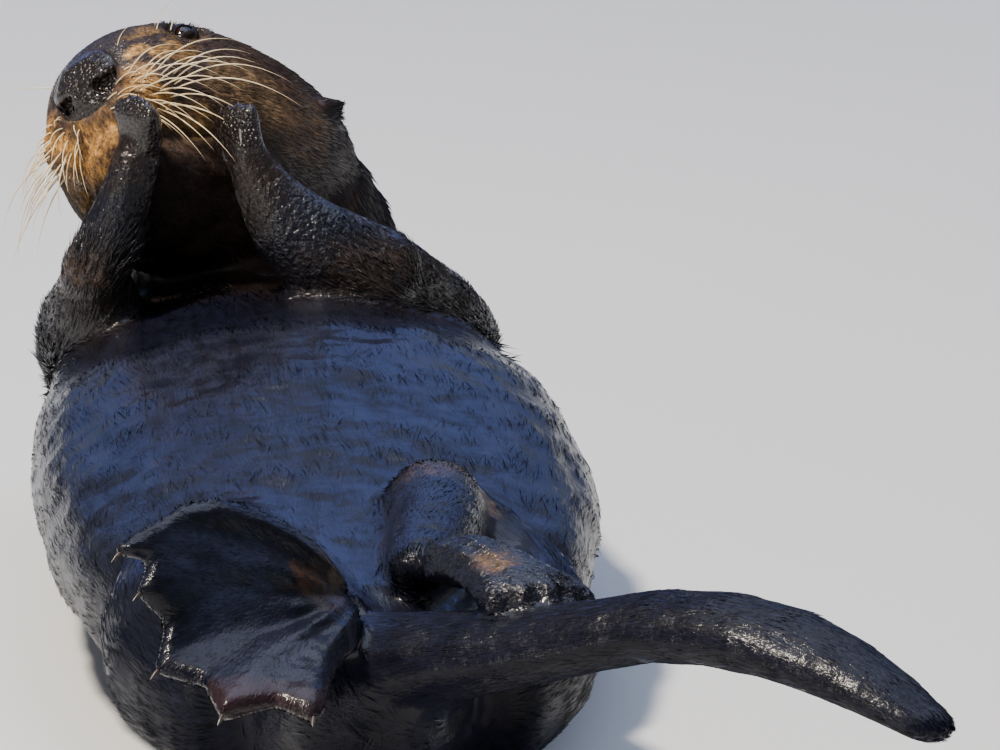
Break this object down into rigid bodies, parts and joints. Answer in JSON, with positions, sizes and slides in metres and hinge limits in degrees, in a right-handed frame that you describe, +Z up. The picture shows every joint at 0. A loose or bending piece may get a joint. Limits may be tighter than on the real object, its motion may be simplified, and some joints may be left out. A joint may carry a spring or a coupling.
{
  "type": "sea otter",
  "caption": "Sea otter lying on its back, neck bent up, forepaws at the mouth, knees and hind feet raised, flat tail swung to one side.",
  "frame": {"origin": "on the floor, under the middle of the whole animal", "axes": "+Y along the body towards the head, +X to the otter's left, +Z up (its belly side)"},
  "size_m": [0.3942, 0.875, 0.2564],
  "materials": {
    "fur_body": "wet, sleek, near-black brown fur with a cool sheen",
    "fur_head": "wet brown fur, tawny round the muzzle",
    "bare_skin": "wet, grained, black-brown skin",
    "claw_horn": "smooth dark horn",
    "eye": "wet, dark brown, glossy"
  },
  "bodies": {
    "root": {"claw_forepaw_right_1": "claw_horn", "claw_forepaw_right_2": "claw_horn", "claw_forepaw_right_3": "claw_horn", "claw_forepaw_right_4": "claw_horn", "claw_forepaw_right_5": "claw_horn", "claw_forepaw_left_1": "claw_horn", "claw_forepaw_left_2": "claw_horn", "claw_forepaw_left_3": "claw_horn", "claw_forepaw_left_4": "claw_horn", "claw_forepaw_left_5": "claw_horn", "claw_hind_foot_right_1": "claw_horn", "claw_hind_foot_right_2": "claw_horn", "claw_hind_foot_right_3": "claw_horn", "claw_hind_foot_right_4": "claw_horn", "claw_hind_foot_right_5": "claw_horn", "claw_hind_foot_left_1": "claw_horn", "claw_hind_foot_left_2": "claw_horn", "claw_hind_foot_left_3": "claw_horn", "claw_hind_foot_left_4": "claw_horn", "claw_hind_foot_left_5": "claw_horn", "eye_left": "eye", "eye_right": "eye", "nose": "bare_skin", "head": "fur_head", "lower_jaw": "fur_head", "ear_left": "fur_head", "ear_right": "fur_head", "trunk": "fur_body", "neck": "fur_head", "upper_arm_right": "fur_body", "upper_arm_left": "fur_body", "forearm_right": "fur_body", "forearm_left": "fur_body", "forepaw_right": "bare_skin", "forepaw_left": "bare_skin", "thigh_right": "fur_body", "thigh_left": "fur_body", "shank_right": "fur_body", "shank_left": "fur_body", "hind_foot_right": "fur_body", "hind_foot_left": "fur_body", "tail": "fur_body"}
  },
  "joints": []
}
